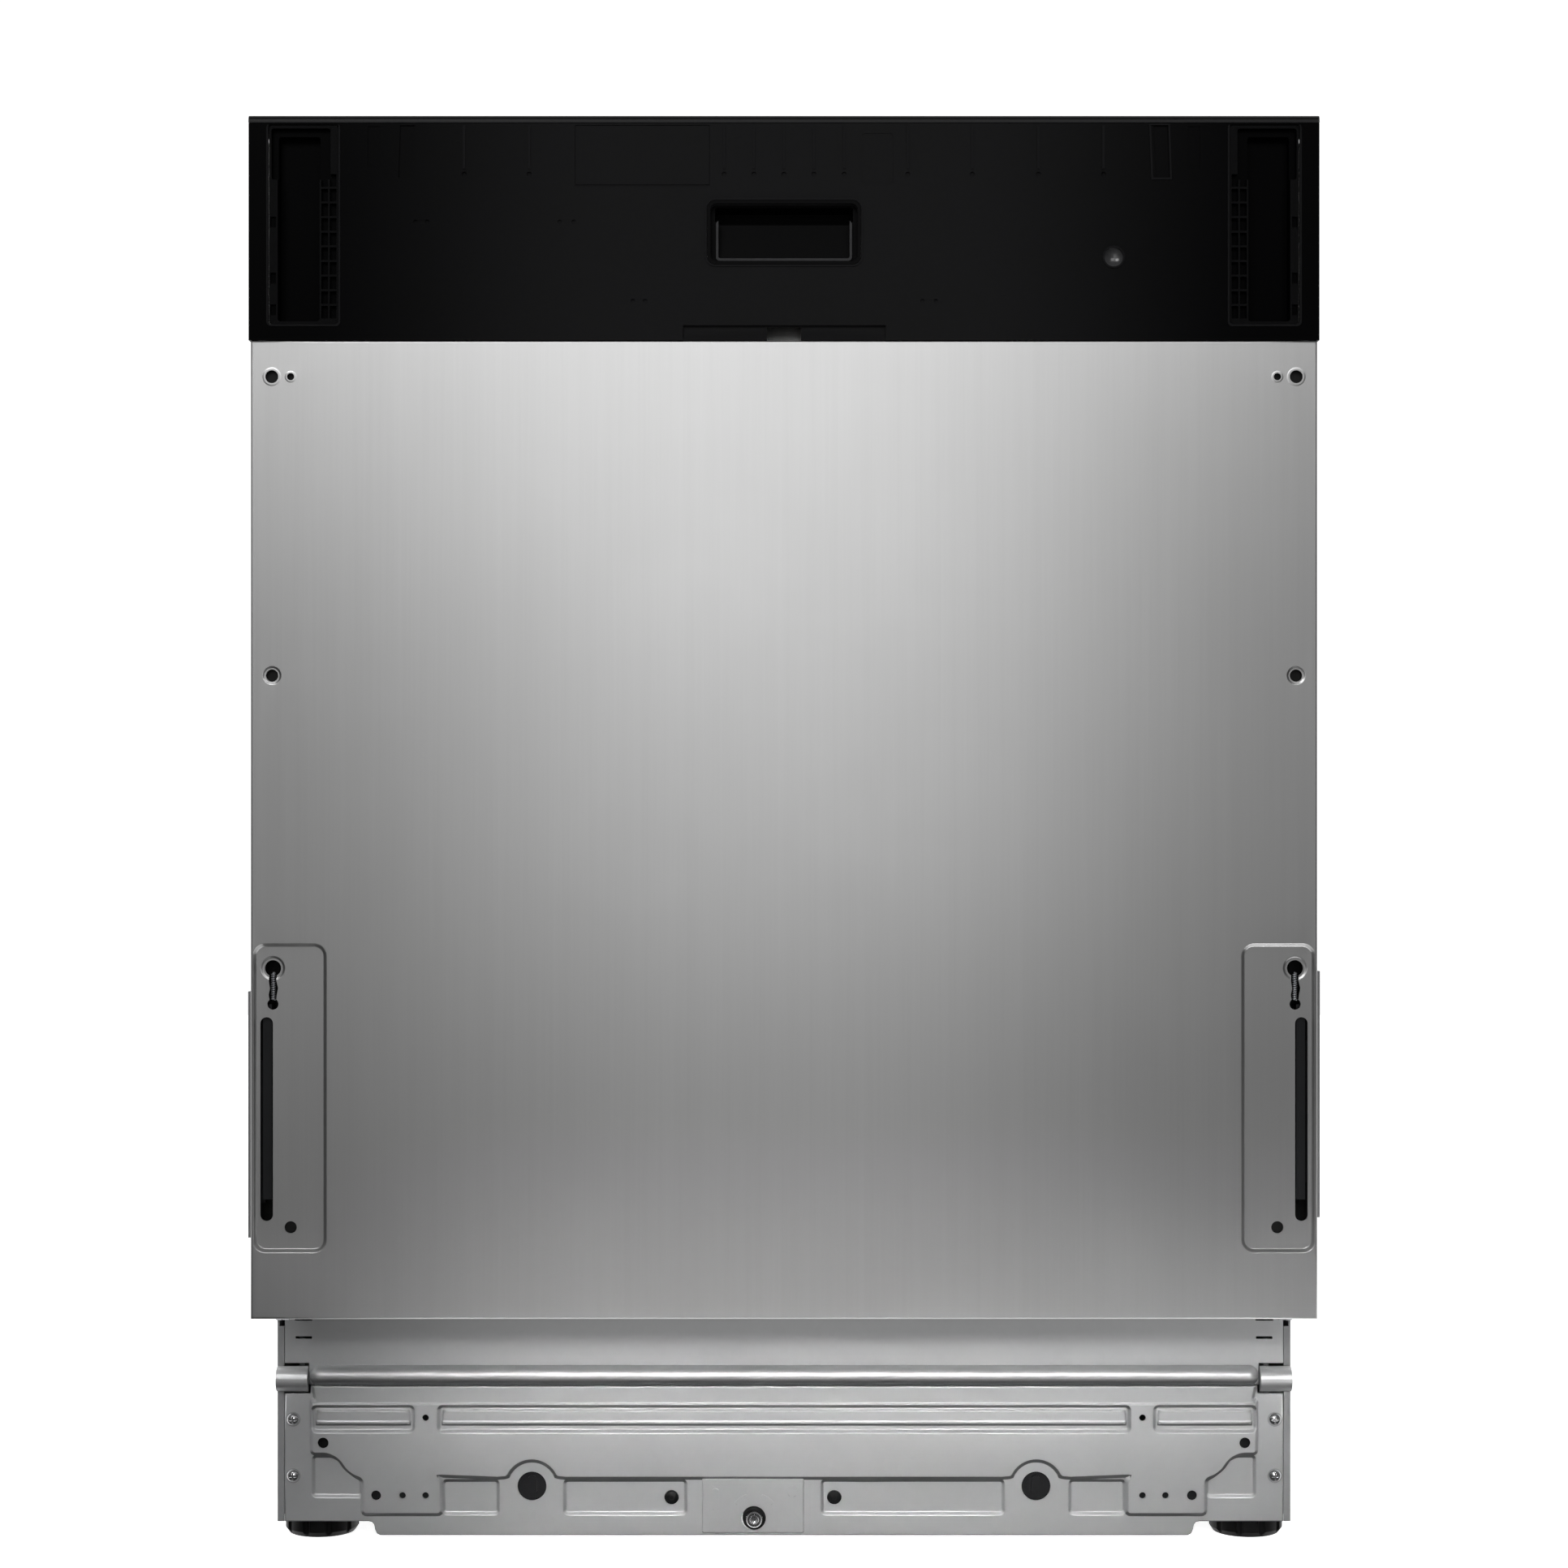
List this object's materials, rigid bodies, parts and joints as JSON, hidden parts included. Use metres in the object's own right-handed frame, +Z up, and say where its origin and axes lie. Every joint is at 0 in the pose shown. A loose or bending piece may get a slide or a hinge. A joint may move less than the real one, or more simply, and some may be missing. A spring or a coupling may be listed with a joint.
{
  "type": "built in dishwasher",
  "caption": "Fully integrated built-in dishwasher with a drop-down door behind a blank steel front, black control strip on top, pull-out racks, spray arms and adjustable feet.",
  "frame": {"origin": "centre of the bounding box's bottom face, on the floor under the middle of the machine", "axes": "+Z up, the door faces -Y, +X to the right seen from the front"},
  "size_m": [0.598, 0.55, 0.818],
  "materials": {
    "door_steel": "satin brushed sheet",
    "liner_steel": "bright rolled stainless sheet",
    "zinc_steel": "galvanised sheet",
    "hinge_steel": "zinc plated strip",
    "side_sheet": "matt coated sheet with a felt backing",
    "console_black": "fine grain moulded plastic",
    "guide_black": "moulded plastic",
    "control_gloss": "polished control strip",
    "display_glass": "tinted window",
    "lens_clear": "translucent lens",
    "button_grey": "satin caps",
    "base_plastic": "moulded base",
    "foot_plastic": "tough moulded foot",
    "seal_rubber": "soft rubber",
    "grey_plastic": "moulded grey plastic",
    "light_plastic": "moulded light grey plastic",
    "wire_grey": "nylon coated wire",
    "spindle_steel": "plated steel",
    "filter_mesh": "perforated stainless"
  },
  "bodies": {
    "cabinet": {"tub_wrapper": "liner_steel", "tub_bottom": "liner_steel", "door_gasket": "seal_rubber", "side_panel_left": "side_sheet", "side_panel_right": "side_sheet", "top_cover": "side_sheet", "rear_panel": "zinc_steel", "hose_ports": "light_plastic", "base_tray": "base_plastic", "front_cross_member": "zinc_steel", "base_front_panel": "zinc_steel", "adjuster_plate": "zinc_steel", "base_screws": "spindle_steel", "hinge_brackets": "hinge_steel", "balance_springs": "hinge_steel", "sump": "grey_plastic", "flat_filter": "filter_mesh", "circulation_pump": "base_plastic", "drain_pump": "base_plastic", "salt_container": "light_plastic", "feed_tube": "grey_plastic", "latch_hook": "spindle_steel", "rail_brackets": "light_plastic"},
    "door": {"door_outer_panel": "door_steel", "door_inner_liner": "liner_steel", "lower_door_seal": "seal_rubber", "console_front": "console_black", "panel_guide_left": "guide_black", "panel_guide_right": "guide_black", "grip_pocket": "console_black", "control_fascia": "control_gloss", "display_window": "display_glass", "status_lens": "lens_clear", "door_lock": "base_plastic", "dispenser_housing": "light_plastic", "hinge_arms": "hinge_steel"},
    "lower_rack": {"lower_rack": "wire_grey", "cutlery_basket": "grey_plastic"},
    "fold_tines": {"fold_tines": "wire_grey"},
    "wheels_front": {"rack_wheels_front": "light_plastic"},
    "wheels_rear": {"rack_wheels_rear": "light_plastic"},
    "upper_rack": {"upper_rack": "wire_grey"},
    "rack_rails": {"rack_rails": "liner_steel"},
    "power_button": {"power_button": "button_grey"},
    "program_button": {"program_button": "button_grey"},
    "option_button": {"option_button": "button_grey"},
    "start_button": {"start_button": "button_grey"},
    "detergent_lid": {"detergent_lid": "light_plastic"},
    "rinse_aid_cap": {"rinse_aid_cap": "grey_plastic"},
    "panel_slider_left": {"panel_slider_left": "hinge_steel"},
    "panel_slider_right": {"panel_slider_right": "hinge_steel"},
    "lower_spray_arm": {"lower_spray_arm": "grey_plastic"},
    "upper_spray_arm": {"upper_spray_arm": "grey_plastic"},
    "top_spray_arm": {"top_spray_arm": "grey_plastic"},
    "salt_cap": {"salt_cap": "grey_plastic"},
    "filter_cylinder": {"filter_cylinder": "light_plastic"},
    "front_foot_left": {"front_foot_left": "foot_plastic"},
    "front_foot_right": {"front_foot_right": "foot_plastic"},
    "rear_foot": {"rear_foot": "foot_plastic"},
    "adjuster_shaft": {"adjuster_shaft": "spindle_steel"}
  },
  "joints": [
    {"name": "door_hinge", "type": "hinge", "parent": "cabinet", "child": "door", "pos_m": [0, -0.25, 0.152], "axis": [1, 0, 0], "range_deg": [0, 90], "stiffness_Nm_per_rad": 18},
    {"name": "lower_rack_slide", "type": "slide", "parent": "cabinet", "child": "lower_rack", "axis": [0, -1, 0], "range_m": [0, 0.5]},
    {"name": "wheels_front_roll", "type": "hinge", "parent": "lower_rack", "child": "wheels_front", "pos_m": [0, -0.096, 0.193], "axis": [1, 0, 0], "continuous": true},
    {"name": "wheels_rear_roll", "type": "hinge", "parent": "lower_rack", "child": "wheels_rear", "pos_m": [0, 0.15, 0.193], "axis": [1, 0, 0], "continuous": true},
    {"name": "fold_tines_tilt", "type": "hinge", "parent": "lower_rack", "child": "fold_tines", "pos_m": [0.0186, 0, 0.2299], "axis": [0, 1, 0], "range_deg": [0, 88]},
    {"name": "upper_rack_slide", "type": "slide", "parent": "cabinet", "child": "upper_rack", "axis": [0, -1, 0], "range_m": [0, 0.45]},
    {"name": "rail_slide", "type": "slide", "parent": "cabinet", "child": "rack_rails", "axis": [0, -1, 0], "range_m": [0, 0.225]},
    {"name": "lower_arm_spin", "type": "hinge", "parent": "cabinet", "child": "lower_spray_arm", "pos_m": [0, 0, 0.198], "axis": [0, 0, 1], "continuous": true},
    {"name": "upper_arm_spin", "type": "hinge", "parent": "upper_rack", "child": "upper_spray_arm", "pos_m": [0, 0.005, 0.4544], "axis": [0, 0, 1], "continuous": true},
    {"name": "top_arm_spin", "type": "hinge", "parent": "cabinet", "child": "top_spray_arm", "pos_m": [0, 0, 0.761], "axis": [0, 0, 1], "continuous": true},
    {"name": "salt_cap_turn", "type": "hinge", "parent": "cabinet", "child": "salt_cap", "pos_m": [-0.15, -0.11, 0.156], "axis": [0, 0, 1], "range_deg": [0, 90]},
    {"name": "filter_turn", "type": "hinge", "parent": "cabinet", "child": "filter_cylinder", "pos_m": [0.075, 0.06, 0.154], "axis": [0, 0, 1], "range_deg": [0, 60]},
    {"name": "power_press", "type": "slide", "parent": "door", "child": "power_button", "axis": [0, 0, -1], "range_m": [0, 0.001], "stiffness_N_per_m": 600},
    {"name": "program_press", "type": "slide", "parent": "door", "child": "program_button", "axis": [0, 0, -1], "range_m": [0, 0.001], "stiffness_N_per_m": 600},
    {"name": "option_press", "type": "slide", "parent": "door", "child": "option_button", "axis": [0, 0, -1], "range_m": [0, 0.001], "stiffness_N_per_m": 600},
    {"name": "start_press", "type": "slide", "parent": "door", "child": "start_button", "axis": [0, 0, -1], "range_m": [0, 0.001], "stiffness_N_per_m": 600},
    {"name": "detergent_lid_slide", "type": "slide", "parent": "door", "child": "detergent_lid", "axis": [-1, 0, 0], "range_m": [0, 0.06]},
    {"name": "rinse_cap_turn", "type": "hinge", "parent": "door", "child": "rinse_aid_cap", "pos_m": [0.048, -0.23, 0.505], "axis": [0, -1, 0], "range_deg": [0, 90]},
    {"name": "left_panel_slide", "type": "slide", "parent": "door", "child": "panel_slider_left", "axis": [0, 0, 1], "range_m": [0, 0.05]},
    {"name": "right_panel_slide", "type": "slide", "parent": "door", "child": "panel_slider_right", "axis": [0, 0, 1], "range_m": [-0.0114, 0.0386]},
    {"name": "left_foot_extend", "type": "slide", "parent": "cabinet", "child": "front_foot_left", "axis": [0, 0, -1], "range_m": [0, 0.06]},
    {"name": "right_foot_extend", "type": "slide", "parent": "cabinet", "child": "front_foot_right", "axis": [0, 0, -1], "range_m": [0, 0.06]},
    {"name": "rear_foot_extend", "type": "slide", "parent": "cabinet", "child": "rear_foot", "axis": [0, 0, -1], "range_m": [0, 0.06]},
    {"name": "adjuster_turn", "type": "hinge", "parent": "cabinet", "child": "adjuster_shaft", "pos_m": [-0.0175, -0.17, 0.0136], "axis": [0, 1, 0], "range_deg": [0, 7200]}
  ],
  "couplings": [
    {"joint": "lower_rack_slide", "follows": "door_hinge", "m_per_rad": 0.0955},
    {"joint": "upper_rack_slide", "follows": "door_hinge", "m_per_rad": 0.2864},
    {"joint": "rail_slide", "follows": "door_hinge", "m_per_rad": 0.1432},
    {"joint": "wheels_front_roll", "follows": "door_hinge", "ratio": 5.6176},
    {"joint": "wheels_rear_roll", "follows": "door_hinge", "ratio": 5.6176},
    {"joint": "adjuster_turn", "follows": "rear_foot_extend", "rad_per_m": 2094.4}
  ]
}
